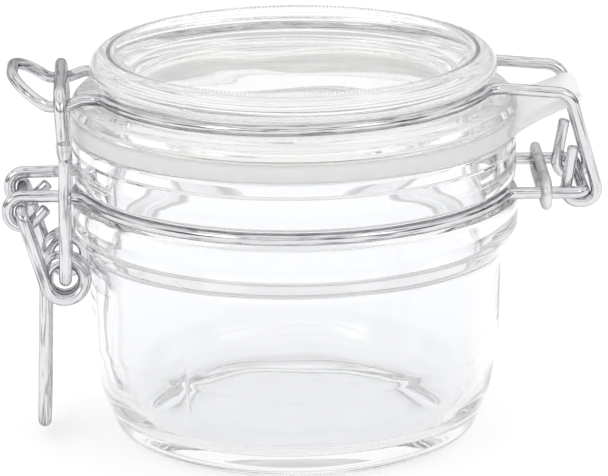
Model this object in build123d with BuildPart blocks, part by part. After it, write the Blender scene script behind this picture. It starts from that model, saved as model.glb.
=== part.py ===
"""Small lidded glass canister with a wire clamp: glass jar and lid, gasket, bent-wire hinge and latch.

Frame: millimetres, +Z up, origin on the jar's axis at the table. -X is the latch side, +X the hinge side.
Every wire is symmetric about the XZ plane, so one half is drawn and mirrored.
"""

import os
from math import atan2, asin, cos, degrees, hypot, pi, radians, sin, sqrt, tan

from build123d import *

os.makedirs("parts", exist_ok=True)

# ---- wire diameters
NECK_WIRE_D = 2.1
LID_WIRE_D = 2.0
LEVER_WIRE_D = 2.3
BAIL_WIRE_D = 2.2
CLIP_WIRE_D = 1.8

# ---- heights of the stack
RIM_Z = 54.5  # top of the jar's rim, where the gasket lies
FLANGE_Z = 57.7  # underside of the lid's flange, on the gasket
CREST_Z = 68.45  # top of the lid's raised ring
NECK_RING_Z = 44.8  # neck wire, in its groove
LID_RING_Z = 62.7  # lid wire, in its groove
LID_RING_TILT = radians(0.6)  # it is slack in the groove and lies low at the latch

# ---- radii
NECK_RING_R = 37.7
LID_RING_R = 34.5
MOUTH_R = 32.2
PLUG_R = 30.7
BODY_R = 36.0
COLLAR_R = 38.85
FLANGE_R = 38.75

# ---- hinge: the neck wire's cross-bar is the axle, the lid wire hooks round it
AXLE = (49.5, NECK_RING_Z)
HINGE_ARM_Y = 11.35  # neck wire
LID_ARM_Y = 10.1  # lid wire, where it leaves its ring
HOOK_Y = 9.1  # lid wire, round the axle
HOOK_R = 2.25
HOOK_FLAT = 0.8  # widens the hook towards the jar
KNEE_Z = 62.0
CLIP_X = 42.9

# ---- latch: the lever turns in the neck wire's eyes, its coils hold the bail
PIVOT = (-47.2, 42.35)
COIL = (-39.95, 30.2)
COIL_R = 3.35
COIL_PITCH = 2.38
BAIL_FOOT = (-39.85, 30.8)  # bottom bar, pulled up in the coils
BAIL_KINK = (-39.55, 51.5)  # slight bend of the legs below the weld
BAIL_HEAD = (-40.2, 63.6)  # top bar, over the dip of the lid wire
EYE_Y = 8.1
LEVER_ARM_Y = 10.55
BAIL_Y = 12.95
NOSE_Y = 10.2
NOSE_TIP = (-48.4, 65.4)
DIP_START = (-42.4, 61.2)
DIP_END = (-38.9, 61.3)
HANDLE_BOTTOM_Z = 3.0
HANDLE_LEAN = 1.8  # degrees, outwards at the bottom


def rounded(corners):
    """Lines through (point, bend radius) pairs, each inner corner rounded to its radius."""
    at = Vector(*corners[0][0])
    for i in range(1, len(corners) - 1):
        corner, radius = Vector(*corners[i][0]), corners[i][1]
        back = (Vector(*corners[i - 1][0]) - corner).normalized()
        ahead = (Vector(*corners[i + 1][0]) - corner).normalized()
        half = radians(back.get_angle(ahead)) / 2
        if radius == 0:
            Line(at, corner)
            at = corner
            continue
        reach = radius / tan(half)
        start, end = corner + back * reach, corner + ahead * reach
        crown = corner + (back + ahead).normalized() * (radius / sin(half) - radius)
        if (start - at).length > 1e-6:
            Line(at, start)
        ThreePointArc(start, crown, end)
        at = end
    last = Vector(*corners[-1][0])
    if (last - at).length > 1e-6:
        Line(at, last)


def turned(outline):
    """A solid turned about Z from (radius, height, corner radius) rows, first and last on the axis."""
    with BuildSketch(Plane.XZ) as profile:
        with BuildLine():
            rounded([((r, z), bend) for r, z, bend in outline])
            Line(outline[-1][:2], outline[0][:2])
        make_face()
    revolve(profile.sketch, axis=Axis.Z)


def leave_ring(ring_r, arm_y, bend_r):
    """Where a wire leaves its ring to run along X at arm_y: centre of the bend, then its touching point."""
    centre_y = arm_y + bend_r
    centre_x = sqrt((ring_r + bend_r) ** 2 - centre_y**2)
    share = ring_r / (ring_r + bend_r)
    return centre_x, centre_y, centre_x * share, centre_y * share


def half_ring(ring_r, z, left_y, right_y, left_bend, right_bend, tilt=0.0):
    """The +Y half of a ring, bent out into arms at left_y (towards -X) and right_y (towards +X).

    A tilt lifts its +X side."""

    def at(x, y):
        return (x * cos(tilt), y, z + x * sin(tilt))

    lx, ly, tx, ty = leave_ring(ring_r, left_y, left_bend)
    rx, ry, ux, uy = leave_ring(ring_r, right_y, right_bend)
    towards = Vector(tx - lx, ty - ly).normalized() + Vector(0, -1)
    mid = Vector(-lx, ly) + Vector(-towards.X, towards.Y).normalized() * left_bend
    ThreePointArc(at(-lx, left_y), at(mid.X, mid.Y), at(-tx, ty))
    ThreePointArc(at(-tx, ty), at(0, ring_r), at(ux, uy))
    towards = Vector(ux - rx, uy - ry).normalized() + Vector(0, -1)
    mid = Vector(rx, ry) + towards.normalized() * right_bend
    ThreePointArc(at(ux, uy), at(mid.X, mid.Y), at(rx, right_y))
    return at(-lx, left_y), at(rx, right_y)


def round_wire(path, diameter):
    """Sweeps a round wire along a path, then adds its mirror image in the XZ plane."""
    with BuildSketch(Plane(origin=path.line @ 0, z_dir=path.line % 0)) as section:
        Circle(diameter / 2)
    sweep(section.sketch, path=path.line)
    mirror(about=Plane.XZ)


# ---- jar: thick-walled body, flared collar, wire groove and rim, with a hollow foot
FOOT_IN_R = 22.3
FOOT_OUT_R = 30.9
FLOOR_Z = 5.0
GROOVE_ROOT_R = 36.35
GROOVE_HALF = 1.4
RIM_R = 38.5
SEAM_Z = 52.0  # shallow line round the rim
with BuildPart() as jar_glass:
    turned(
        [
            (0, 2.0, 0),
            (19.5, 1.6, 2.5),
            (FOOT_IN_R, 0, 1.2),
            (FOOT_OUT_R, 0, 5.0),
            (34.2, 8.7, 13.0),
            (35.6, 17.0, 7.0),
            (BODY_R, 34.0, 1.5),
            (COLLAR_R, 37.4, 1.3),
            (COLLAR_R, NECK_RING_Z - GROOVE_HALF - 0.2, 0.6),
            (GROOVE_ROOT_R, NECK_RING_Z - GROOVE_HALF, 1.0),
            (GROOVE_ROOT_R, NECK_RING_Z + GROOVE_HALF, 1.0),
            (RIM_R, NECK_RING_Z + GROOVE_HALF + 0.2, 0.5),
            (RIM_R, SEAM_Z - 0.3, 0.15),
            (RIM_R - 0.4, SEAM_Z, 0.15),
            (RIM_R, SEAM_Z + 0.3, 0.15),
            (RIM_R, RIM_Z, 0.7),
            (MOUTH_R, RIM_Z, 0.8),
            (MOUTH_R, 38.0, 6.0),
            (33.0, 32.0, 6.0),
            (32.4, 17.0, 12.0),
            (31.3, 10.0, 12.0),
            (29.0, FLOOR_Z - 0.4, 4.5),
            (0, FLOOR_Z, 0),
        ]
    )
jar_glass.part.label = "jar_glass"
export_step(jar_glass.part, "parts/jar_glass.step")

# ---- lid: flange, wire groove, raised ring, sunken centre, and a plug that goes into the mouth
PLUG_IN_R = 27.8
PLUG_Z = 53.0
PANE_LOW_Z = 60.2  # the sunken centre's two faces
PANE_TOP_Z = 63.9
LID_GROOVE_R = 33.25
CREST_OUT_R = 35.25
CREST_IN_R = 31.0
with BuildPart() as lid_glass:
    turned(
        [
            (0, PANE_LOW_Z, 0),
            (PLUG_IN_R, PANE_LOW_Z - 0.2, 1.5),
            (PLUG_IN_R, PLUG_Z, 0.9),
            (PLUG_R, PLUG_Z, 0.9),
            (PLUG_R, FLANGE_Z, 0.2),
            (38.3, FLANGE_Z, 0.5),
            (FLANGE_R, 58.7, 0.9),
            (37.9, 60.7, 1.5),
            (35.8, 61.1, 0.6),
            (LID_GROOVE_R, LID_RING_Z - 1.5, 0.9),
            (LID_GROOVE_R, LID_RING_Z + 1.45, 0.9),
            (CREST_OUT_R, 64.55, 0.7),
            (CREST_OUT_R, CREST_Z, 2.6),
            (CREST_IN_R, CREST_Z, 2.0),
            (27.5, 65.0, 2.0),
            (25.6, PANE_TOP_Z + 0.4, 1.5),
            (0, PANE_TOP_Z, 0),
        ]
    )
lid_glass.part.label = "lid_glass"
export_step(lid_glass.part, "parts/lid_glass.step")

# ---- gasket: a flat rubber ring with a pull tab that rises between the lid wire's hinge arms
GASKET_IN_R = 30.9
GASKET_OUT_R = 38.7
TAB_T = 2.0
TAB_DROP = 0.4  # underside of the tab above the ring's
TAB_LENGTH = 13.6
TAB_RISE = 22.0  # degrees
TAB_ROOT_X = 37.2
TAB_ROOT_HALF = 12.6  # half widths at the root and the tip
TAB_TIP_HALF = 7.8
with BuildPart() as gasket:
    with BuildSketch(Plane.XZ):
        with Locations(((GASKET_IN_R + GASKET_OUT_R) / 2, (RIM_Z + FLANGE_Z) / 2)):
            RectangleRounded(GASKET_OUT_R - GASKET_IN_R, FLANGE_Z - RIM_Z, 0.6)
    revolve(axis=Axis.Z)
    # flat root of the tab, level with the ring
    with BuildSketch(Plane.XY.offset(RIM_Z + TAB_DROP)):
        with BuildLine():
            Polyline(
                (33.5, 0), (33.5, 16), (35.6, 15.2), (TAB_ROOT_X, TAB_ROOT_HALF), (TAB_ROOT_X, 0), close=True
            )
        make_face()
        mirror(about=Plane.XZ)
    extrude(amount=TAB_T)
    # rising tongue
    rise = Plane(
        origin=(TAB_ROOT_X, 0, RIM_Z + TAB_DROP),
        x_dir=(cos(radians(TAB_RISE)), 0, sin(radians(TAB_RISE))),
        z_dir=(-sin(radians(TAB_RISE)), 0, cos(radians(TAB_RISE))),
    )
    with BuildSketch(rise):
        with BuildLine():
            rounded(
                [
                    ((-0.6, 0), 0),
                    ((-0.6, TAB_ROOT_HALF), 0),
                    ((0, TAB_ROOT_HALF), 0),
                    ((4.5, 9.2), 6.0),
                    ((TAB_LENGTH, TAB_TIP_HALF), 4.0),
                    ((TAB_LENGTH, 0), 0),
                ]
            )
            Line((TAB_LENGTH, 0), (-0.6, 0))
        make_face()
        mirror(about=Plane.XZ)
    extrude(amount=TAB_T)
gasket.part.label = "gasket"
export_step(gasket.part, "parts/gasket.step")

# ---- neck wire: open eye and tail, latch arm, half ring, hinge arm, axle
EYE_R = 2.5
EYE_LOW_R = 2.5
EYE_LEFT_X = -49.6
TAIL_FOOT_Z = 36.0  # height of the tail's line where it would meet EYE_LEFT_X
TAIL_END_X = -42.9
EYE_ARM_BEND_R = 7.0
HINGE_ARM_BEND_R = 3.0
AXLE_BEND_R = 1.7
low_z = TAIL_FOOT_Z + EYE_LOW_R * (1 + sqrt(2))
diagonal = EYE_LOW_R / sqrt(2)
tail_x = EYE_LEFT_X + EYE_LOW_R + diagonal
tail_z = low_z - diagonal
with BuildPart() as neck_wire:
    with BuildLine() as path:
        reach = TAIL_END_X - tail_x
        Line((TAIL_END_X, EYE_Y, tail_z + reach), (tail_x, EYE_Y, tail_z))
        turn = radians(-112.5)
        ThreePointArc(
            (tail_x, EYE_Y, tail_z),
            (EYE_LEFT_X + EYE_LOW_R + EYE_LOW_R * cos(turn), EYE_Y, low_z + EYE_LOW_R * sin(turn)),
            (EYE_LEFT_X, EYE_Y, low_z),
        )
        eye_z = NECK_RING_Z - EYE_R
        Line((EYE_LEFT_X, EYE_Y, low_z), (EYE_LEFT_X, EYE_Y, eye_z))
        ThreePointArc(
            (EYE_LEFT_X, EYE_Y, eye_z),
            (EYE_LEFT_X + EYE_R - EYE_R / sqrt(2), EYE_Y, eye_z + EYE_R / sqrt(2)),
            (EYE_LEFT_X + EYE_R, EYE_Y, NECK_RING_Z),
        )
        near_x = -leave_ring(NECK_RING_R, EYE_Y, EYE_ARM_BEND_R)[0]
        Line((EYE_LEFT_X + EYE_R, EYE_Y, NECK_RING_Z), (near_x, EYE_Y, NECK_RING_Z))
        _, arm = half_ring(
            NECK_RING_R, NECK_RING_Z, EYE_Y, HINGE_ARM_Y, EYE_ARM_BEND_R, HINGE_ARM_BEND_R
        )
        rounded(
            [
                (arm, 0),
                ((AXLE[0], HINGE_ARM_Y, NECK_RING_Z), AXLE_BEND_R),
                ((AXLE[0], 0, NECK_RING_Z), 0),
            ]
        )
    round_wire(path, NECK_WIRE_D)
neck_wire.part.label = "neck_wire"
export_step(neck_wire.part, "parts/neck_wire.step")

# ---- clip ring: an oval that keeps the two hinge arms together just behind the neck
CLIP_END_R = (NECK_WIRE_D + CLIP_WIRE_D) / 2 + 0.11
with BuildPart() as clip_ring:
    with BuildLine() as path:
        top, low = NECK_RING_Z + CLIP_END_R, NECK_RING_Z - CLIP_END_R
        Line((CLIP_X, 0, top), (CLIP_X, HINGE_ARM_Y, top))
        ThreePointArc(
            (CLIP_X, HINGE_ARM_Y, top),
            (CLIP_X, HINGE_ARM_Y + CLIP_END_R, NECK_RING_Z),
            (CLIP_X, HINGE_ARM_Y, low),
        )
        Line((CLIP_X, HINGE_ARM_Y, low), (CLIP_X, 0, low))
    round_wire(path, CLIP_WIRE_D)
clip_ring.part.label = "clip_ring"
export_step(clip_ring.part, "parts/clip_ring.step")

# ---- lid wire: nose, dip under the bail, half ring, hinge arm, hook round the axle, cut tail
LID_BEND_R = 3.5
NOSE_LEG = 3.4  # from the dip to where the nose turns in
NOSE_TURN = radians(50)
LEG_LEAN = 15.5  # degrees from upright, towards +X at the bottom
TAIL_LEAN = 10.0
TAIL_TOP_Z = 52.4
LEG_STRAIGHTENS_Z = 51.0  # above it the legs spread from the hook to the arms
lean, tail = radians(LEG_LEAN), radians(TAIL_LEAN)
leg_foot = (AXLE[0] + HOOK_R * cos(lean), AXLE[1] + HOOK_R * sin(lean))
flat_end = AXLE[0] - HOOK_FLAT
tail_foot = (flat_end - HOOK_R * cos(tail), AXLE[1] + HOOK_R * sin(tail))
knee_x = leg_foot[0] - (KNEE_Z - leg_foot[1]) * tan(lean)
spread_x = leg_foot[0] - (LEG_STRAIGHTENS_Z - leg_foot[1]) * tan(lean)
with BuildPart() as lid_wire:
    with BuildLine() as path:
        near_x = -leave_ring(LID_RING_R, NOSE_Y, LID_BEND_R)[0] * cos(LID_RING_TILT)
        near_z = LID_RING_Z + near_x * tan(LID_RING_TILT)
        run = Vector(NOSE_TIP[0] - DIP_START[0], 0, NOSE_TIP[1] - DIP_START[1])
        shoulder = Vector(DIP_START[0], NOSE_Y, DIP_START[1]) + run.normalized() * NOSE_LEG
        side_y = NOSE_Y - (run.length - NOSE_LEG) * tan(NOSE_TURN)
        rounded(
            [
                ((NOSE_TIP[0], 0, NOSE_TIP[1]), 0),
                ((NOSE_TIP[0], side_y, NOSE_TIP[1]), 9.5),
                ((shoulder.X, shoulder.Y, shoulder.Z), 5.0),
                ((DIP_START[0], NOSE_Y, DIP_START[1]), 2.6),
                ((DIP_END[0], NOSE_Y, DIP_END[1]), 2.5),
                ((near_x - 0.9, NOSE_Y, near_z - 0.9 * tan(LID_RING_TILT)), 3.0),
                ((near_x, NOSE_Y, near_z), 0),
            ]
        )
        _, arm = half_ring(
            LID_RING_R, LID_RING_Z, NOSE_Y, LID_ARM_Y, LID_BEND_R, LID_BEND_R, LID_RING_TILT
        )
        rounded(
            [
                (arm, 0),
                ((knee_x, LID_ARM_Y, KNEE_Z), 3.2),
                ((spread_x, HOOK_Y, LEG_STRAIGHTENS_Z), 12.0),
                ((leg_foot[0], HOOK_Y, leg_foot[1]), 0),
            ]
        )
        turn = (lean - pi / 2) / 2
        ThreePointArc(
            (leg_foot[0], HOOK_Y, leg_foot[1]),
            (AXLE[0] + HOOK_R * cos(turn), HOOK_Y, AXLE[1] + HOOK_R * sin(turn)),
            (AXLE[0], HOOK_Y, AXLE[1] - HOOK_R),
        )
        Line((AXLE[0], HOOK_Y, AXLE[1] - HOOK_R), (flat_end, HOOK_Y, AXLE[1] - HOOK_R))
        ThreePointArc(
            (flat_end, HOOK_Y, AXLE[1] - HOOK_R),
            (flat_end - HOOK_R * sin(pi / 4), HOOK_Y, AXLE[1] - HOOK_R * cos(pi / 4)),
            (tail_foot[0], HOOK_Y, tail_foot[1]),
        )
        rise_z = TAIL_TOP_Z - tail_foot[1]
        Line(
            (tail_foot[0], HOOK_Y, tail_foot[1]),
            (tail_foot[0] + rise_z * tan(tail), HOOK_Y, TAIL_TOP_Z),
        )
    round_wire(path, LID_WIRE_D)
lid_wire.part.label = "lid_wire"
export_step(lid_wire.part, "parts/lid_wire.step")

# ---- bail: a closed loop, butt-welded in one leg
WELD_Z = 54.6
WELD_R = BAIL_WIRE_D / 2 + 0.22
tilt = atan2(BAIL_HEAD[0] - BAIL_KINK[0], BAIL_HEAD[1] - BAIL_KINK[1])
with BuildPart() as bail:
    with BuildLine() as path:
        rounded(
            [
                ((BAIL_FOOT[0], 0, BAIL_FOOT[1]), 0),
                ((BAIL_FOOT[0], BAIL_Y, BAIL_FOOT[1]), 1.6),
                ((BAIL_KINK[0], BAIL_Y, BAIL_KINK[1]), 40.0),
                ((BAIL_HEAD[0], BAIL_Y, BAIL_HEAD[1]), 3.0),
                ((BAIL_HEAD[0], 0, BAIL_HEAD[1]), 0),
            ]
        )
    round_wire(path, BAIL_WIRE_D)
    weld_x = BAIL_KINK[0] + (WELD_Z - BAIL_KINK[1]) * tan(tilt)
    with Locations(Location((weld_x, -BAIL_Y, WELD_Z), (0, degrees(tilt), 0))):
        Cylinder(WELD_R, 1.7)
    circles = bail.edges().filter_by(GeomType.CIRCLE)
    fillet(circles.filter_by(lambda e: abs(e.radius - WELD_R) < 0.01), 0.15)
bail.part.label = "bail"
export_step(bail.part, "parts/bail.step")

# ---- lever: cross-bar in the eyes, arms, two-turn coils, handle
EASE_R = 8.0  # eases the wire into and out of the coil's slope
slope = atan2(COIL_PITCH, 2 * pi * COIL_R)
ease = EASE_R * tan(slope / 2)
dx, dz = COIL[0] - PIVOT[0], COIL[1] - PIVOT[1]
arm_dir = atan2(dz, dx) - asin(COIL_R / hypot(dx, dz))
leg_dir = radians(-90 - HANDLE_LEAN)
turns = 2 - (arm_dir - leg_dir) / (2 * pi)
ARM_END_Y = LEVER_ARM_Y - 0.05


def on_coil(heading, y):
    """The point of the coil at y where a wire heading this way in the XZ plane touches it."""
    return Vector(COIL[0] + COIL_R * sin(heading), y, COIL[1] - COIL_R * cos(heading))


def along(heading, climb):
    """Unit vector of this heading in the XZ plane, sloping towards -Y by climb."""
    return Vector(cos(heading) * cos(climb), -sin(climb), sin(heading) * cos(climb))


with BuildPart() as lever:
    with BuildLine() as path:
        enter = on_coil(arm_dir, ARM_END_Y)
        leave = on_coil(leg_dir, ARM_END_Y - turns * COIL_PITCH)
        arm_end = enter - along(arm_dir, slope) * ease
        leg_start = leave + along(leg_dir, slope) * ease
        arm_y, leg_y = arm_end.Y, leg_start.Y
        rounded(
            [
                ((PIVOT[0], 0, PIVOT[1]), 0),
                ((PIVOT[0], arm_y, PIVOT[1]), 1.5),
                (tuple(arm_end), EASE_R),
                (tuple(enter), 0),
            ]
        )
        coil = Helix(COIL_PITCH, turns * COIL_PITCH, COIL_R, direction=(0, -1, 0), mode=Mode.PRIVATE)
        first = coil @ 0
        spin = degrees(atan2(first.X, first.Z)) - degrees(atan2(enter.X - COIL[0], enter.Z - COIL[1]))
        coil = coil.rotate(Axis.Y, -spin)
        coil = coil.moved(Location((COIL[0], ARM_END_Y, COIL[1])))
        add(coil)
        reach = (leg_start.Z - HANDLE_BOTTOM_Z) / cos(radians(HANDLE_LEAN))
        foot = leg_start + along(leg_dir, 0) * reach
        rounded(
            [
                (tuple(leave), 0),
                (tuple(leg_start), EASE_R),
                (tuple(foot), 2.6),
                ((foot.X, 0, foot.Z), 0),
            ]
        )
    round_wire(path, LEVER_WIRE_D)
lever.part.label = "lever"
export_step(lever.part, "parts/lever.step")
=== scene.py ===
"""Lidded glass canister: the looks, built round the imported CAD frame. Metres, +Z up, -X is the latch side."""

import math

import bpy
import numpy as np
from mathutils import Matrix, Vector


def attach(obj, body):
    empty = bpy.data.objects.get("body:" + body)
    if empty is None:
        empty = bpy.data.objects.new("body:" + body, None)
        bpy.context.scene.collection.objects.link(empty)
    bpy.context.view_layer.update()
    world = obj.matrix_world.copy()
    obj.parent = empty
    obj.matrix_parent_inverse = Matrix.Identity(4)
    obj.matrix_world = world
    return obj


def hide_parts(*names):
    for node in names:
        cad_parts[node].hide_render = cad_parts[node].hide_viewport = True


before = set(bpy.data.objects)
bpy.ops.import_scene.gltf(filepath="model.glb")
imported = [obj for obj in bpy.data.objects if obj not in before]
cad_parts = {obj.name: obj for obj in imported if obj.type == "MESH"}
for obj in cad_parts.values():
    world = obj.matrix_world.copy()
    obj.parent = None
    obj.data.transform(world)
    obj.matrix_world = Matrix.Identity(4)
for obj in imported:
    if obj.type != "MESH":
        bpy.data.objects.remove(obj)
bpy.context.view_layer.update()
MM = 0.001
FULL = 2 * math.pi

# ------------------------------------------------------------------ camera
CAMERA_AZIMUTH = math.radians(-1.75)
CAMERA_DISTANCE = 0.800  # along the floor
CAMERA_HEIGHT = 0.265
CAMERA_ROLL = math.radians(-0.5)
SENSOR_WIDTH, LENS = 36, 282.8
AIM = (0.0016, 0.0, 0.0342)
camera_data = bpy.data.cameras.new("camera")
camera_data.sensor_width = SENSOR_WIDTH
camera_data.lens = LENS
camera_data.clip_start = 0.05
camera_data.clip_end = 20
camera = bpy.data.objects.new("camera", camera_data)
bpy.context.scene.collection.objects.link(camera)
camera.location = (
    CAMERA_DISTANCE * math.sin(CAMERA_AZIMUTH),
    -CAMERA_DISTANCE * math.cos(CAMERA_AZIMUTH),
    CAMERA_HEIGHT,
)
look = (Vector(AIM) - camera.location).to_track_quat("-Z", "Y")
camera.rotation_euler = (look.to_matrix() @ Matrix.Rotation(CAMERA_ROLL, 3, "Z")).to_euler()
bpy.context.scene.camera = camera


# ------------------------------------------------------------------ mesh helpers, all in mm
SAME_POINT = 1e-5  # points nearer than this count as one
WIRE_SIDES = 32
WIRE_STEP = 1.2  # longest span along a wire
WORN_EDGE = 0.22  # bevel on a wire's cut end
LATHE_STEP = 1.4  # longest span along a lathe's outline
LATHE_BEND_DEG = 7.0  # turn between points on an outline's bends
FINE_RATIO = 6  # how many times more points a fine row has


def add_mesh(name, verts, faces, material=None, sharp_deg=40):
    mesh = bpy.data.meshes.new(name)
    mesh.from_pydata([tuple(v) for v in np.array(verts) * MM], [], faces)
    mesh.update()
    obj = bpy.data.objects.new(name, mesh)
    bpy.context.scene.collection.objects.link(obj)
    mesh.polygons.foreach_set("use_smooth", [True] * len(mesh.polygons))
    mesh.set_sharp_from_angle(angle=math.radians(sharp_deg))
    if material:
        mesh.materials.append(material)
    return obj


def vec(*values):
    return np.array(values, float)


MIRROR = vec(1, -1, 1)  # in the XZ plane


def unit(v):
    return v / np.linalg.norm(v)


def without_repeats(pts):
    return [pts[0]] + [p for q, p in zip(pts, pts[1:]) if np.linalg.norm(p - q) > SAME_POINT]


def arc(centre, start, end, axis, steps):
    """Points on the arc from start to end round centre, about the unit axis, without the first."""
    a, b = start - centre, end - centre
    angle = math.atan2(np.dot(axis, np.cross(a, b)), np.dot(a, b)) % FULL
    side = np.cross(axis, a)
    return [centre + a * math.cos(t) + side * math.sin(t) for t in np.linspace(0, angle, steps + 1)[1:]]


def rounded(corners, step_deg=5.0):
    """Points along lines through (point, bend radius) pairs, with each inner corner rounded."""
    pts = [vec(*corners[0][0])]
    for (before, _), (corner, radius), (after, _) in zip(corners, corners[1:], corners[2:]):
        before, corner, after = vec(*before), vec(*corner), vec(*after)
        if radius == 0:
            pts.append(corner)
            continue
        back, ahead = unit(before - corner), unit(after - corner)
        half = math.acos(np.clip(back @ ahead, -1, 1)) / 2
        reach = radius / math.tan(half)
        start, end = corner + back * reach, corner + ahead * reach
        centre = corner + unit(back + ahead) * radius / math.sin(half)
        steps = max(2, math.ceil(math.degrees(math.pi - 2 * half) / step_deg))
        pts.append(start)
        pts += arc(centre, start, end, unit(np.cross(-back, ahead)), steps)
    pts.append(vec(*corners[-1][0]))
    return without_repeats(pts)


def refine(pts, longest):
    """Adds points so that no span is longer than longest."""
    out = [pts[0]]
    for a, b in zip(pts, pts[1:]):
        n = max(1, math.ceil(np.linalg.norm(b - a) / longest))
        out += [a + (b - a) * i / n for i in range(1, n + 1)]
    return out


def mirrored(half):
    """An open path whose half starts or ends on the XZ plane, completed by its mirror image."""
    if abs(half[0][1]) < SAME_POINT:
        return [p * MIRROR for p in half[:0:-1]] + half
    return half + [p * MIRROR for p in half[-2::-1]]


def mirrored_loop(half):
    """A closed path whose half starts and ends on the XZ plane, completed by its mirror image."""
    return half + [p * MIRROR for p in half[-2:0:-1]]


def tube(name, pts, radius, material, closed=False, swell=None):
    """A round wire along pts. Open ends are cut flat, with a worn edge. swell(point) scales the radius.

    UV: mm along the wire, turns round it."""
    pts = refine(pts + pts[:1] if closed else pts, WIRE_STEP)
    if closed:
        pts = pts[:-1]
    pts = np.array(pts)
    ahead = np.roll(pts, -1, 0) - pts
    back = pts - np.roll(pts, 1, 0)
    if not closed:
        ahead[-1], back[0] = back[-1], ahead[0]
    tangent = ahead / np.linalg.norm(ahead, axis=1)[:, None] + back / np.linalg.norm(back, axis=1)[:, None]
    tangent /= np.linalg.norm(tangent, axis=1)[:, None]
    across = unit(np.cross(tangent[0], [0.3, 0.5, 0.81]))  # a direction that no wire starts in
    normals = []
    for t in tangent:
        across = unit(across - t * (across @ t))
        normals.append(across)
    twist = 0.0
    if closed:
        last = unit(across - tangent[0] * (across @ tangent[0]))
        twist = math.atan2(np.cross(normals[0], last) @ tangent[0], normals[0] @ last)
    lengths = np.concatenate([[0], np.cumsum(np.linalg.norm(np.diff(pts, axis=0), axis=1))])
    total = lengths[-1] + (np.linalg.norm(pts[0] - pts[-1]) if closed else 0)
    angles = np.linspace(0, FULL, WIRE_SIDES, endpoint=False)
    rings, along = [], list(lengths)
    for p, t, a, s in zip(pts, tangent, normals, lengths):
        turn = angles - twist * s / total
        r = radius * (swell(p) if swell else 1.0)
        spokes = np.outer(np.cos(turn), a) + np.outer(np.sin(turn), np.cross(t, a))
        rings.append(p + spokes * r)
    if not closed:
        for at, sign in ((0, 1), (-1, -1)):
            edge, centre = rings[at], pts[at]
            inner = centre + (edge - centre) * (1 - WORN_EDGE / radius)
            rings[at] = edge + sign * tangent[at] * WORN_EDGE
            place = 0 if at == 0 else len(rings)
            rings.insert(place, inner)
            along.insert(place, along[at] - sign * WORN_EDGE)
    m = len(rings)
    faces = []
    for i in range(m if closed else m - 1):
        row, next_row = i * WIRE_SIDES, (i + 1) % m * WIRE_SIDES
        for k in range(WIRE_SIDES):
            q = (k + 1) % WIRE_SIDES
            faces.append((row + k, row + q, next_row + q, next_row + k))
    if not closed:
        faces.append(tuple(range(WIRE_SIDES - 1, -1, -1)))
        faces.append(tuple((m - 1) * WIRE_SIDES + k for k in range(WIRE_SIDES)))
    obj = add_mesh(name, np.vstack(rings), faces, material)
    uv = obj.data.uv_layers.new(name="along").data
    for p in obj.data.polygons:
        sectors = [v % WIRE_SIDES for v in p.vertices]
        rows = [v // WIRE_SIDES for v in p.vertices]
        wraps = len(sectors) == 4 and max(sectors) - min(sectors) > 1
        joins = len(sectors) == 4 and max(rows) - min(rows) > 1
        for loop, k, i in zip(p.loop_indices, sectors, rows):
            uv[loop].uv = (total if joins and i == 0 else along[i], 1.0 if wraps and k == 0 else k / WIRE_SIDES)
    return obj


def span(row, k, count):
    """The points of a row from sector k to sector k + 1 of count sectors."""
    if len(row) == 1:
        return [row[0]]
    step = len(row) // count
    return [row[(k * step + i) % len(row)] for i in range(step + 1)]


def lathe(name, outline, angles, material, shift, fine=None):
    """A body of revolution from (radius, height, corner radius) rows, first and last on the axis.

    shift(r, z, angle) moves each point by its own radius and height. Rows for which fine(r, z) holds have
    FINE_RATIO times as many points."""
    pts = refine(rounded([((r, 0, z), bend) for r, z, bend in outline], LATHE_BEND_DEG), LATHE_STEP)
    dense = np.linspace(0, FULL, len(angles) * FINE_RATIO, endpoint=False)
    verts, rows = [], []
    for r, _, z in pts:
        if r < 1e-6:
            rows.append([len(verts)])
            verts.append((0, 0, z))
            continue
        row_angles = dense if fine and fine(r, z) else angles
        rows.append(list(range(len(verts), len(verts) + len(row_angles))))
        for a in row_angles:
            dr, dz = shift(r, z, a)
            verts.append(((r + dr) * math.cos(a), (r + dr) * math.sin(a), z + dz))
    faces = []
    for a, b in zip(rows, rows[1:]):
        count = min(len(a), len(b)) if min(len(a), len(b)) > 1 else max(len(a), len(b))
        faces += [tuple(span(a, k, count) + span(b, k, count)[::-1]) for k in range(count)]
    return add_mesh(name, verts, faces, material, sharp_deg=50)


# ------------------------------------------------------------------ dimensions, mm, as in the CAD
NECK_Z, LID_RING_Z = 44.8, 62.7
NECK_RING_R, LID_RING_R = 37.7, 34.5
RIM_Z, FLANGE_Z, CREST_Z = 54.5, 57.7, 68.45
AXLE = (49.5, NECK_Z)
# distance of each wire's arms from the XZ plane
EYE_Y, LEVER_ARM_Y, BAIL_Y, NOSE_Y = 8.1, 10.55, 12.95, 10.2  # latch side
HINGE_ARM_Y, LID_ARM_Y, HOOK_Y = 11.35, 10.1, 9.1  # hinge side
NECK_D, LID_D, LEVER_D, BAIL_D, CLIP_D = 2.1, 2.0, 2.3, 2.2, 1.8  # wire diameters


# ------------------------------------------------------------------ materials
def new_material(name):
    m = bpy.data.materials.new(name)
    m.use_nodes = True
    return m, m.node_tree, m.node_tree.nodes["Principled BSDF"]


def node(nt, kind, inputs=None, **values):
    n = nt.nodes.new(kind)
    for key, value in values.items():
        setattr(n, key, value)
    for key, value in (inputs or {}).items():
        if isinstance(value, bpy.types.NodeSocket):
            nt.links.new(value, n.inputs[key])
        else:
            n.inputs[key].default_value = value
    return n


def ramp(nt, fac, stops):
    """A colour ramp from (position, level) stops, where a level is a grey or an RGB colour."""
    n = node(nt, "ShaderNodeValToRGB", {"Fac": fac})
    while len(n.color_ramp.elements) < len(stops):
        n.color_ramp.elements.new(0.5)
    for e, (at, value) in zip(n.color_ramp.elements, stops):
        e.position = at
        e.color = (*value, 1) if isinstance(value, tuple) else (value, value, value, 1)
    return n.outputs["Color"]


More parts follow.
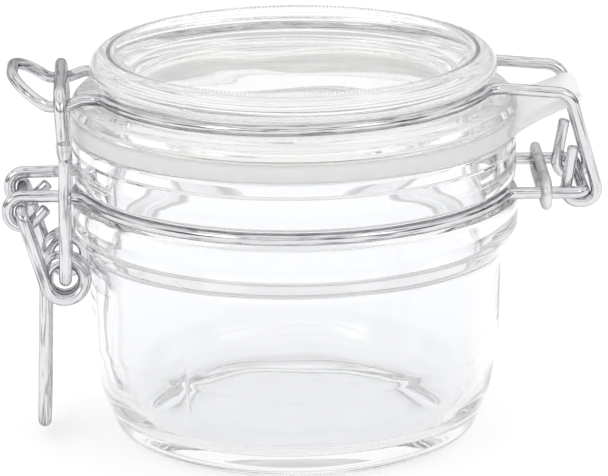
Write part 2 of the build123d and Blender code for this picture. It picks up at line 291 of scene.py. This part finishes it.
def calc(nt, operation, *values):
    return node(nt, "ShaderNodeMath", dict(enumerate(values)), operation=operation).outputs[0]


def between(nt, factor, a, b):
    """From a to b by factor, as plain numbers."""
    return node(nt, "ShaderNodeMix", {"Factor": factor, "A": a, "B": b}, data_type="FLOAT").outputs["Result"]


def noise(nt, vector, scale, detail):
    """On object coordinates, scale is the number of its features in a metre."""
    return node(nt, "ShaderNodeTexNoise", {"Vector": vector, "Scale": scale, "Detail": detail}).outputs["Fac"]


def spread(nt, value, low, high):
    """The usual range of a noise, taken to low and high."""
    inputs = {"Value": value, "From Min": 0.3, "From Max": 0.7, "To Min": low, "To Max": high}
    return node(nt, "ShaderNodeMapRange", inputs).outputs["Result"]


def relief(nt, height, strength, distance, **under):
    """The normal of a bump, over the normal under it if there is one. Distance in metres."""
    inputs = {"Height": height, "Strength": strength, "Distance": distance, **under}
    return node(nt, "ShaderNodeBump", inputs).outputs["Normal"]


def finish_shader(nt, shader, values, links):
    """Sets the shader's plain values on its own sockets, then links the others."""
    for key, value in values.items():
        shader.inputs[key].default_value = value
    for key, value in links.items():
        nt.links.new(value, shader.inputs[key])


def glass_material(name, tint, wave_scale, wave_depth):
    """Clear pressed glass, with the faint flow waves of its surface."""
    m, nt, shader = new_material(name)
    place = node(nt, "ShaderNodeTexCoord").outputs["Object"]
    waves = relief(nt, noise(nt, place, wave_scale, 1.5), 0.35, wave_depth)
    skin = relief(nt, noise(nt, place, 900.0, 2.0), 0.05, 0.00003, Normal=waves)
    plain = {"Base Color": (*tint, 1), "Transmission Weight": 1.0, "IOR": 1.47, "Roughness": 0.0}
    finish_shader(nt, shader, plain, {"Normal": skin})
    # light from the lamps passes straight through to what is behind the glass
    shadow = node(nt, "ShaderNodeLightPath").outputs["Is Shadow Ray"]
    clear = node(nt, "ShaderNodeBsdfTransparent", {"Color": (0.98, 0.98, 0.98, 1)}).outputs["BSDF"]
    mix = node(nt, "ShaderNodeMixShader", {0: shadow, 1: shader.outputs["BSDF"], 2: clear})
    nt.links.new(mix.outputs[0], nt.nodes["Material Output"].inputs["Surface"])
    return m


def wire_material(name, low, high, rough_low, rough_high, streak=0.85):
    """Drawn, zinc-bright wire: fine lines along it, cloudy patches, and small pits.

    low and high are its darkest and palest colours, and streak is the share of the lines in them."""
    m, nt, shader = new_material(name)
    uv = node(nt, "ShaderNodeSeparateXYZ", {"Vector": node(nt, "ShaderNodeUVMap", uv_map="along").outputs["UV"]})
    turn = calc(nt, "MULTIPLY", uv.outputs["Y"], FULL)
    slow = calc(nt, "MULTIPLY", uv.outputs["X"], 0.05)  # stretches the noise along the wire
    round_wire = {"X": calc(nt, "COSINE", turn), "Y": calc(nt, "SINE", turn), "Z": slow}
    lines = noise(nt, node(nt, "ShaderNodeCombineXYZ", round_wire).outputs["Vector"], 3.2, 3.0)
    place = node(nt, "ShaderNodeTexCoord").outputs["Object"]
    cloud = noise(nt, place, 420.0, 3.0)
    pits = noise(nt, place, 2600.0, 2.0)
    colour = ramp(nt, between(nt, 1.0 - streak, lines, cloud), [(0.34, low), (0.47, high)])
    normal = relief(nt, pits, 0.25, 0.00002, Normal=relief(nt, lines, 0.5, 0.00006))
    plain = {"Metallic": 1.0, "Specular Tint": (0.50, 0.50, 0.51, 1)}
    rough = spread(nt, cloud, rough_low, rough_high)
    finish_shader(nt, shader, plain, {"Base Color": colour, "Roughness": rough, "Normal": normal})
    return m


def rubber_material(name):
    """Milky, translucent gasket rubber with a satin, faintly grained skin."""
    m, nt, shader = new_material(name)
    place = node(nt, "ShaderNodeTexCoord").outputs["Object"]
    cloud = noise(nt, place, 160.0, 3.0)
    grain = noise(nt, place, 2200.0, 2.0)
    plain = {
        "IOR": 1.41,
        "Transmission Weight": 0.25,
        "Subsurface Weight": 1.0,
        "Subsurface Radius": (0.0025, 0.0025, 0.0024),
        "Subsurface Scale": 1.0,
    }
    links = {
        "Base Color": ramp(nt, cloud, [(0.3, (0.88, 0.89, 0.88)), (0.7, (0.93, 0.935, 0.93))]),
        "Roughness": spread(nt, grain, 0.38, 0.5),
        "Normal": relief(nt, grain, 0.2, 0.00003),
    }
    finish_shader(nt, shader, plain, links)
    return m


JAR_GLASS = glass_material("jar_clear_glass", (0.938, 0.942, 0.950), 45.0, 0.00006)
LID_GLASS = glass_material("lid_clear_glass", (0.955, 0.95, 0.942), 60.0, 0.00005)
WIRE = wire_material("zinc_wire", (0.235, 0.237, 0.257), (0.74, 0.74, 0.755), 0.08, 0.17)
LEVER_WIRE = wire_material("lever_wire", (0.285, 0.287, 0.303), (0.77, 0.77, 0.785), 0.10, 0.20)
CLIP_WIRE = wire_material("clip_wire", (0.50, 0.50, 0.49), (0.80, 0.80, 0.79), 0.30, 0.45, 0.4)
RUBBER = rubber_material("milky_rubber")


# ------------------------------------------------------------------ jar
SEAM_ANGLE = math.radians(57)  # the mould's parting line, and again on the far side
SEAM_POINTS = ((-2, -0.0105), (-1, -0.0045), (0, 0.0), (1, 0.0045), (2, 0.0105))  # steps away, radians away
SEAM_HALF_WIDTH = 0.22
SEAM_HEIGHT = 0.07
SEAM_FROM_Z, SEAM_TO_Z = 9, 36
JAR_SECTORS = 360
JAR_OUTSIDE = [
    (0, 2.0, 0), (19.5, 1.7, 12.0), (26.0, 0, 6.0), (30.9, 0, 5.0), (34.2, 8.7, 13.0), (35.6, 17.0, 7.0),
    (36.0, 34.0, 3.5), (38.85, 37.4, 2.5), (38.85, 43.2, 0.6), (36.35, 43.4, 1.0), (36.35, 46.2, 1.0),
    (38.5, 46.4, 0.5), (38.5, 51.7, 0.15), (38.1, 52.0, 0.15), (38.5, 52.3, 0.15), (38.5, RIM_Z, 0.7),
    (32.2, RIM_Z, 0.8),
]  # fmt: skip
JAR_INSIDE = [
    (32.2, 38.0, 6.0), (33.0, 32.0, 6.0), (32.4, 17.0, 12.0), (31.3, 10.0, 12.0), (29.0, 4.6, 4.5), (0, 5.0, 0),
]  # fmt: skip
OUTSIDE_R = 33.6  # above the foot, the wall's outside lies beyond this radius and its inside within it


def seam_angles(count):
    """Even angles, with one at each parting line pulled in so that its ridge has clean sides."""
    angles = list(np.linspace(0, FULL, count, endpoint=False))
    for centre in (SEAM_ANGLE, SEAM_ANGLE + math.pi):
        near = round(centre / FULL * count)
        for step, at in SEAM_POINTS:
            angles[(near + step) % count] = centre + at
    return angles


def seam(a, r):
    """Height of the parting line's ridge at angle a."""
    past = (a - SEAM_ANGLE) % math.pi
    away = min(past, math.pi - past) * r
    return SEAM_HEIGHT * max(0.0, 1 - away / SEAM_HALF_WIDTH)


def jar_shift(r, z, a):
    """The parting line outside, and the uneven inner wall and floor of pressed glass."""
    if r > OUTSIDE_R and z < RIM_Z - 1:
        return (seam(a, r) if SEAM_FROM_Z < z < SEAM_TO_Z else 0), 0
    if r > 26 and 6 < z < 50:  # inner wall
        wave = math.sin(3 * a + 0.08 * z) + 0.6 * math.sin(7 * a - 0.21 * z + 1) + 0.4 * math.sin(11 * a + 0.4 * z)
        return 0.05 * wave, 0
    if r < 28 and 4 < z < 8:  # inner floor
        return 0, min(1, r / 12) ** 2 * (0.08 * math.sin(2 * a + r * 0.12) + 0.05 * math.sin(5 * a - r * 0.2))
    return 0, 0


jar = lathe("jar_body", JAR_OUTSIDE + JAR_INSIDE, seam_angles(JAR_SECTORS), JAR_GLASS, jar_shift)

# ------------------------------------------------------------------ lid, with a ring of small beads on its crest
BEADS = 290
BEAD_RING_R = 31.9
BEAD_R = 0.32
CREST_UNDER_BEADS = CREST_Z - BEAD_R - 0.02
LID = [
    (0, 60.2, 0), (27.8, 60.0, 1.5), (27.8, 53.0, 0.9), (30.7, 53.0, 0.9), (30.7, FLANGE_Z, 0.2),
    (38.3, FLANGE_Z, 0.5), (38.75, 58.7, 0.9), (37.9, 60.7, 1.5), (35.8, 61.1, 0.6), (33.25, 61.2, 0.9),
    (33.25, 64.15, 0.9), (35.25, 64.55, 0.7), (35.25, CREST_UNDER_BEADS, 2.6),
    *((r, CREST_UNDER_BEADS, 0) for r in (32.3, 32.15, 32.03, 31.9, 31.77, 31.65, 31.5)),
    (31.0, CREST_UNDER_BEADS, 1.0), (27.5, 65.0, 2.0), (25.6, 64.3, 1.5), (0, 63.9, 0),
]  # fmt: skip


def on_bead_ring(r, z):
    """Whether a row is one of the crest's close rows."""
    return z > CREST_UNDER_BEADS - 0.01 and abs(r - BEAD_RING_R) < 0.41


def lid_shift(r, z, a):
    """Beads on the crest, the parting line on the outside, and gentle waves in the pane."""
    if on_bead_ring(r, z):
        pitch = FULL / BEADS
        off = ((a / pitch + 0.5) % 1 - 0.5) * pitch * r
        reach = 1 - ((r - BEAD_RING_R) ** 2 + off**2) / BEAD_R**2
        return 0, BEAD_R * math.sqrt(reach) if reach > 0 else 0
    if r > 34 and z > 65:  # beside the crest, where the ridge stays within the CAD's radius
        return seam(a, r) - SEAM_HEIGHT, 0
    if r < 25:
        fade = min(1, r / 12) ** 2
        lobes, depth = (2, 0.05) if z > 62 else (3, 0.03)  # top, underside
        return 0, fade * depth * math.sin(lobes * a + r * 0.15)
    return 0, 0


lid = lathe("lid_body", LID, seam_angles(BEADS), LID_GLASS, lid_shift, on_bead_ring)

# ------------------------------------------------------------------ gasket: ring and pull tab as one skin
GASKET_LIFT = 0.04  # keeps the rubber's skin off the glass
GASKET_SECTORS = 256
GASKET = [
    (30.9, RIM_Z + GASKET_LIFT, 0.6), (38.7, RIM_Z + GASKET_LIFT, 0.6), (38.7, FLANGE_Z - GASKET_LIFT, 0.6),
    (30.9, FLANGE_Z - GASKET_LIFT, 0.6),
]  # fmt: skip


def closed_lathe(name, corners, count, material):
    """A ring whose cross-section is the closed, rounded outline through corners."""
    mid = [(corners[-1][0] + corners[0][0]) / 2, (corners[-1][1] + corners[0][1]) / 2]
    outline = [((mid[0], 0, mid[1]), 0)] + [((r, 0, z), bend) for r, z, bend in corners] + [((mid[0], 0, mid[1]), 0)]
    pts = refine(rounded(outline, step_deg=15.0), longest=2.0)[:-1]
    verts, m = [], len(pts)
    for k in range(count):
        a = FULL * k / count
        verts += [(p[0] * math.cos(a), p[0] * math.sin(a), p[2]) for p in pts]
    faces = []
    for k in range(count):
        j = (k + 1) % count
        for i in range(m):
            q = (i + 1) % m
            faces.append((k * m + i, k * m + q, j * m + q, j * m + i)[::-1])
    return add_mesh(name, verts, faces, material)


gasket = closed_lathe("gasket_ring", GASKET, GASKET_SECTORS, RUBBER)

# pull tab: a tongue that grows out of the ring's edge and rises between the hinge arms
TAB_STATIONS = [
    # distance out from the root, half width, thickness
    (0.0, 13.6, 1.9), (0.7, 12.5, 1.95), (2.0, 11.0, 2.0), (3.6, 9.9, 2.0), (5.6, 9.15, 2.0), (8.0, 8.65, 2.0),
    (10.5, 8.25, 2.0), (12.2, 7.95, 2.0), (13.1, 7.3, 1.9), (13.6, 6.3, 1.75), (13.85, 5.2, 1.6),
]  # fmt: skip
TAB_ROOT = (36.75, 55.0)
TAB_LEVEL = 0.5  # how far it goes straight out before it rises
TAB_RISE = math.radians(22)
TAB_BEND = 0.62  # its edges' bend radius, in half thicknesses
TAB_CORNERS = ((-1, 0, 180), (1, 0, 270), (1, 1, 0), (-1, 1, 90))  # side, lower or upper, first angle


def tab():
    """Lofts rounded cross-sections along the rising tongue."""
    verts, rows = [], []
    for out, half, thick in TAB_STATIONS:
        lift = max(0.0, out - TAB_LEVEL)
        x = TAB_ROOT[0] + min(out, TAB_LEVEL) + lift * math.cos(TAB_RISE)
        z = TAB_ROOT[1] + lift * math.sin(TAB_RISE)
        ring = []
        bend = TAB_BEND * thick / 2
        for side, level, first in TAB_CORNERS:
            cy, ch = side * (half - bend), bend if level == 0 else thick - bend
            for step in range(5):
                t = math.radians(first + 22.5 * step)
                y, h = cy + bend * math.cos(t), ch + bend * math.sin(t)
                ring.append((x - h * math.sin(TAB_RISE), y, z + h * math.cos(TAB_RISE)))
        rows.append(list(range(len(verts), len(verts) + len(ring))))
        verts += ring
    n = len(rows[0])
    faces = [tuple(rows[0]), tuple(rows[-1][::-1])]
    for a, b in zip(rows, rows[1:]):
        faces += [(a[k], b[k], b[(k + 1) % n], a[(k + 1) % n]) for k in range(n)]
    return add_mesh("gasket_tab", verts, faces, RUBBER, sharp_deg=60)


gasket_tab = tab()


# ------------------------------------------------------------------ wires
ACROSS = vec(0, 1, 0)
CLIP_GAP = 0.11  # between the clip ring and the arms it goes round


def leave_ring(ring_r, arm_y, bend):
    """Where a wire leaves its ring to run along X at arm_y: centre of the bend, then its touching point."""
    centre_y = arm_y + bend
    centre_x = math.sqrt((ring_r + bend) ** 2 - centre_y**2)
    share = ring_r / (ring_r + bend)
    return centre_x, centre_y, centre_x * share, centre_y * share


def half_ring(ring_r, z, left_y, right_y, left_bend, right_bend, tilt=0.0):
    """The +Y half of a ring with its two arms' bends. A tilt lifts its +X side."""
    lx, ly, tx, ty = leave_ring(ring_r, left_y, left_bend)
    rx, ry, ux, uy = leave_ring(ring_r, right_y, right_bend)
    up = vec(0, 0, 1)
    pts = [vec(-lx, left_y, z)]
    pts += arc(vec(-lx, ly, z), pts[-1], vec(-tx, ty, z), up, 10)
    pts += arc(vec(0, 0, z), pts[-1], vec(ux, uy, z), -up, 110)
    pts += arc(vec(rx, ry, z), pts[-1], vec(rx, right_y, z), up, 10)
    return [vec(x * math.cos(tilt), y, z + x * math.sin(tilt)) for x, y, z in pts]


def neck_path():
    """Tail, eye, latch arm, half ring, hinge arm and axle."""
    eye_r, left, foot_z, tail_end_x = 2.5, -49.6, 36.0, -42.9
    latch_bend, hinge_bend, corner_bend = 7.0, 3.0, 1.7
    low_z = foot_z + eye_r * (1 + math.sqrt(2))
    diagonal = eye_r / math.sqrt(2)
    tail_x, tail_z = left + eye_r + diagonal, low_z - diagonal
    pts = [vec(tail_end_x, EYE_Y, tail_z + (tail_end_x - tail_x)), vec(tail_x, EYE_Y, tail_z)]
    pts += arc(vec(left + eye_r, EYE_Y, low_z), pts[-1], vec(left, EYE_Y, low_z), ACROSS, 24)
    pts.append(vec(left, EYE_Y, NECK_Z - eye_r))
    pts += arc(vec(left + eye_r, EYE_Y, NECK_Z - eye_r), pts[-1], vec(left + eye_r, EYE_Y, NECK_Z), ACROSS, 16)
    pts += half_ring(NECK_RING_R, NECK_Z, EYE_Y, HINGE_ARM_Y, latch_bend, hinge_bend)
    corner = (AXLE[0], HINGE_ARM_Y, NECK_Z)
    pts += rounded([(pts[-1], 0), (corner, corner_bend), ((AXLE[0], 0, NECK_Z), 0)])[1:]
    return mirrored(without_repeats(pts))


def clip_path():
    """A long loop round both hinge arms."""
    end_r, x = (NECK_D + CLIP_D) / 2 + CLIP_GAP, 42.9
    mid = vec(x, HINGE_ARM_Y, NECK_Z)
    pts = [vec(x, 0, NECK_Z + end_r), mid + vec(0, 0, end_r)]
    pts += arc(mid, pts[-1], mid - vec(0, 0, end_r), vec(-1, 0, 0), 20)
    pts.append(vec(x, 0, NECK_Z - end_r))
    return mirrored_loop(pts)


def lid_wire_path():
    """Nose, dip under the bail, half ring, hinge arm, leg, hook round the axle and cut tail."""
    bend, hook_r, flat, knee_z, straight_z, tail_top = 3.5, 2.25, 0.8, 62.0, 51.0, 52.4
    nose_leg, nose_turn, tilt = 3.4, math.radians(50), math.radians(0.6)
    lean, tail = math.radians(15.5), math.radians(10.0)
    ring = half_ring(LID_RING_R, LID_RING_Z, NOSE_Y, LID_ARM_Y, bend, bend, tilt)
    tip, dip, dip_end = vec(-48.4, 0, 65.4), vec(-42.4, NOSE_Y, 61.2), vec(-38.9, NOSE_Y, 61.3)
    run = (tip - dip) * vec(1, 0, 1)
    shoulder = dip + unit(run) * nose_leg
    side = tip + vec(0, NOSE_Y - (np.linalg.norm(run) - nose_leg) * math.tan(nose_turn), 0)
    before_ring = ring[0] - 0.9 * vec(1, 0, math.tan(tilt))
    nose = [(tip, 0), (side, 9.5), (shoulder, 5.0), (dip, 2.6), (dip_end, 2.5), (before_ring, 3.0), (ring[0], 0)]
    pts = rounded(nose) + ring[1:]
    foot = vec(AXLE[0] + hook_r * math.cos(lean), HOOK_Y, AXLE[1] + hook_r * math.sin(lean))
    knee_x = foot[0] - (knee_z - foot[2]) * math.tan(lean)
    spread_x = foot[0] - (straight_z - foot[2]) * math.tan(lean)
    knee, spread = (knee_x, LID_ARM_Y, knee_z), (spread_x, HOOK_Y, straight_z)
    pts += rounded([(pts[-1], 0), (knee, 3.2), (spread, 12.0), (foot, 0)])[1:]
    bottom = vec(AXLE[0], HOOK_Y, AXLE[1] - hook_r)
    pts += arc(vec(AXLE[0], HOOK_Y, AXLE[1]), foot, bottom, ACROSS, 18)
    pts.append(bottom - vec(flat, 0, 0))
    centre = vec(AXLE[0] - flat, HOOK_Y, AXLE[1])
    end = centre + hook_r * vec(-math.cos(tail), 0, math.sin(tail))
    pts += arc(centre, pts[-1], end, ACROSS, 18)
    rise = tail_top - end[2]
    pts.append(end + vec(rise * math.tan(tail), 0, rise))
    return mirrored(pts)


def bail_path():
    """Bar in the lever's coils, slightly bowed leg, and head over the lid wire's dip."""
    (bar_x, bar_z), (bow_x, bow_z), (head_x, head_z) = (-39.85, 30.8), (-39.55, 51.5), (-40.2, 63.6)
    half = [
        ((bar_x, 0, bar_z), 0), ((bar_x, BAIL_Y, bar_z), 1.6), ((bow_x, BAIL_Y, bow_z), 40.0),
        ((head_x, BAIL_Y, head_z), 3.0), ((head_x, 0, head_z), 0),
    ]  # fmt: skip
    return mirrored_loop(rounded(half))


def lever_path():
    """Cross-bar in the eyes, arm, two-turn coil and handle."""
    pivot, coil, coil_r, pitch = (-47.2, 42.35), (-39.95, 30.2), 3.35, 2.38
    bottom_z, lean_deg, ease_r = 3.0, 1.8, 8.0
    bar_bend, handle_bend, coil_points = 1.5, 2.6, 129
    slope = math.atan2(pitch, FULL * coil_r)
    ease = ease_r * math.tan(slope / 2)
    dx, dz = coil[0] - pivot[0], coil[1] - pivot[1]
    arm_dir = math.atan2(dz, dx) - math.asin(coil_r / math.hypot(dx, dz))
    leg_dir = math.radians(-90 - lean_deg)
    turns = 2 - (arm_dir - leg_dir) / FULL
    end_y = LEVER_ARM_Y - 0.05

    def on_coil(heading, y):
        return vec(coil[0] + coil_r * math.sin(heading), y, coil[1] - coil_r * math.cos(heading))

    def along(heading, inward):
        return vec(math.cos(heading) * math.cos(inward), -math.sin(inward), math.sin(heading) * math.cos(inward))

    enter = on_coil(arm_dir, end_y)
    arm_end = enter - along(arm_dir, slope) * ease
    bar_end = (pivot[0], arm_end[1], pivot[1])
    pts = rounded([((pivot[0], 0, pivot[1]), 0), (bar_end, bar_bend), (arm_end, ease_r), (enter, 0)])
    for t in np.linspace(0, turns, coil_points + 1)[1:]:
        pts.append(on_coil(arm_dir + FULL * t, end_y - t * pitch))
    leave = pts[-1]
    leg_start = leave + along(leg_dir, slope) * ease
    foot = leg_start + along(leg_dir, 0) * (leg_start[2] - bottom_z) / math.cos(math.radians(lean_deg))
    pts += rounded([(leave, 0), (leg_start, ease_r), (foot, handle_bend), (foot * vec(1, 0, 1), 0)])[1:]
    return mirrored_loop(pts)


WELD_Z = 54.6
WELD_SWELL, WELD_HALF = 0.17, 1.15
GROOVE_DEPTH, GROOVE_AT, GROOVE_WIDTH = 0.05, 0.2, 0.25


def weld_swell(p):
    """The bail's butt weld: a collar on the near leg, with a shallow groove round its middle."""
    if p[1] > 0:
        return 1.0
    away = abs(p[2] - WELD_Z)
    groove = GROOVE_DEPTH * math.exp(-(((away - GROOVE_AT) / GROOVE_WIDTH) ** 2))
    return 1.0 + WELD_SWELL * math.exp(-((away / WELD_HALF) ** 4)) - groove


def weld_refined(path):
    """Closer points round the weld, so that its collar is smooth."""
    out = []
    for a, b in zip(path, path[1:] + path[:1]):
        out.append(a)
        near_leg = a[1] < 0 and b[1] < 0 and abs(a[0] - b[0]) < 1
        if near_leg and min(a[2], b[2]) < WELD_Z < max(a[2], b[2]):
            steps = sorted(np.arange(WELD_Z - 2, WELD_Z + 2, 0.12), reverse=bool(a[2] > b[2]))
            out += [a + (b - a) * (z - a[2]) / (b[2] - a[2]) for z in steps]
    return out


wires = {
    "neck_wire": tube("neck_wire_bent", neck_path(), NECK_D / 2, WIRE),
    "clip_ring": tube("clip_ring_bent", clip_path(), CLIP_D / 2, CLIP_WIRE, closed=True),
    "lid_wire": tube("lid_wire_bent", lid_wire_path(), LID_D / 2, WIRE),
    "bail": tube("bail_loop", weld_refined(bail_path()), BAIL_D / 2, LEVER_WIRE, closed=True, swell=weld_swell),
    "lever": tube("lever_bent", lever_path(), LEVER_D / 2, LEVER_WIRE, closed=True),
}

# ------------------------------------------------------------------ riding, with the CAD meshes they replace hidden
pieces = [
    (jar, "jar", "jar_glass", "clear_glass"),
    (lid, "lid", "lid_glass", "clear_glass"),
    (gasket, "lid", "gasket", "gasket_rubber"),
    (gasket_tab, "lid", "gasket", "gasket_rubber"),
    (wires["neck_wire"], "jar", "neck_wire", "steel_wire"),
    (wires["clip_ring"], "jar", "clip_ring", "steel_wire"),
    (wires["lid_wire"], "lid", "lid_wire", "steel_wire"),
    (wires["bail"], "bail", "bail", "steel_wire"),
    (wires["lever"], "lever", "lever", "steel_wire"),
]
for piece, body, cad_node, slot in pieces:
    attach(piece, body)
    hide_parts(cad_node)

# ------------------------------------------------------------------ floor and light
FLOOR_HALF = 3000
floor = add_mesh(
    "floor",
    [(x * FLOOR_HALF, y * FLOOR_HALF, 0) for x, y in ((-1, -1), (1, -1), (1, 1), (-1, 1))],
    [(0, 1, 2, 3)],
)
white, nt, shader = new_material("floor_white")
# part of its white is its own light, so that it stays white seen through the glass
plain = {"Base Color": (0.80, 0.80, 0.80, 1), "Roughness": 0.95}
glow = {"Emission Color": (1, 1, 1, 1), "Emission Strength": 0.34}
finish_shader(nt, shader, {**plain, **glow}, {})
floor.data.materials.append(white)

# A white studio dome, dimmer near the horizon and in one ring overhead, with dim flags and bright lamps round it.
world = bpy.data.worlds.new("studio")
world.use_nodes = True
nt = world.node_tree
sky = node(nt, "ShaderNodeTexCoord").outputs["Generated"]


def patch(direction, inner_deg, outer_deg):
    """1 within inner_deg of a direction, falling to 0 at outer_deg."""
    toward = tuple(Vector(direction).normalized())
    dot = node(nt, "ShaderNodeVectorMath", {0: sky, 1: toward}, operation="DOT_PRODUCT").outputs["Value"]
    inner, outer = math.cos(math.radians(inner_deg)), math.cos(math.radians(outer_deg))
    inputs = {"Value": dot, "From Min": outer, "From Max": inner}
    return node(nt, "ShaderNodeMapRange", inputs, interpolation_type="SMOOTHSTEP").outputs["Result"]


# levels by the sine of the elevation
FRONT_LEVELS = [
    (0.0, 0.8), (0.05, 0.3), (0.12, 0.25), (0.18, 0.85), (0.35, 1.1), (0.55, 1.05), (0.62, 0.4), (0.70, 0.4),
    (0.78, 1.1), (1.0, 1.1),
]  # fmt: skip
BACK_LEVELS = [
    (0.0, 0.95), (0.05, 0.70), (0.12, 0.65), (0.18, 0.95), (0.35, 1.05), (0.58, 1.0), (0.64, 0.65), (0.70, 0.65),
    (0.78, 1.05), (1.0, 1.05),
]  # fmt: skip
FLAGS_AND_LAMPS = [
    # direction, full within and gone beyond so many degrees, level
    ((0.90, -0.42, 0.15), 3, 18, 0.12),
    ((-0.90, -0.42, 0.15), 3, 18, 0.12),
    ((0.95, 0.35, 0.10), 3, 22, 0.25),
    ((-0.95, 0.35, 0.10), 3, 22, 0.25),
    ((-0.62, -0.62, 0.45), 9, 14, 2.6),
    ((0.55, -0.60, 0.50), 7, 12, 2.2),
]
TOP_LEVEL = 2.0  # a ramp holds no more than 1, so it holds levels divided by this
FRONT_FROM, FRONT_TO = -0.25, -0.6  # the Y over which the back's levels turn into the front's
parts = node(nt, "ShaderNodeSeparateXYZ", {"Vector": sky}).outputs
front, back = (
    ramp(nt, parts["Z"], [(at, value / TOP_LEVEL) for at, value in levels]) for levels in (FRONT_LEVELS, BACK_LEVELS)
)
turn_to_front = {"Value": parts["Y"], "From Min": FRONT_FROM, "From Max": FRONT_TO}
facing = node(nt, "ShaderNodeMapRange", turn_to_front).outputs["Result"]
level = calc(nt, "MULTIPLY", between(nt, facing, back, front), TOP_LEVEL)
for direction, inner_deg, outer_deg, value in FLAGS_AND_LAMPS:
    level = between(nt, patch(direction, inner_deg, outer_deg), level, value)
background = nt.nodes["Background"]
nt.links.new(level, background.inputs["Strength"])
background.inputs["Color"].default_value = (1, 1, 1, 1)
scene = bpy.context.scene
scene.world = world
scene.view_settings.view_transform = "Standard"
# light trapped in the glass's edges turns black with fewer bounces
scene.cycles.max_bounces = 32
scene.cycles.transmission_bounces = 28
scene.cycles.glossy_bounces = 24
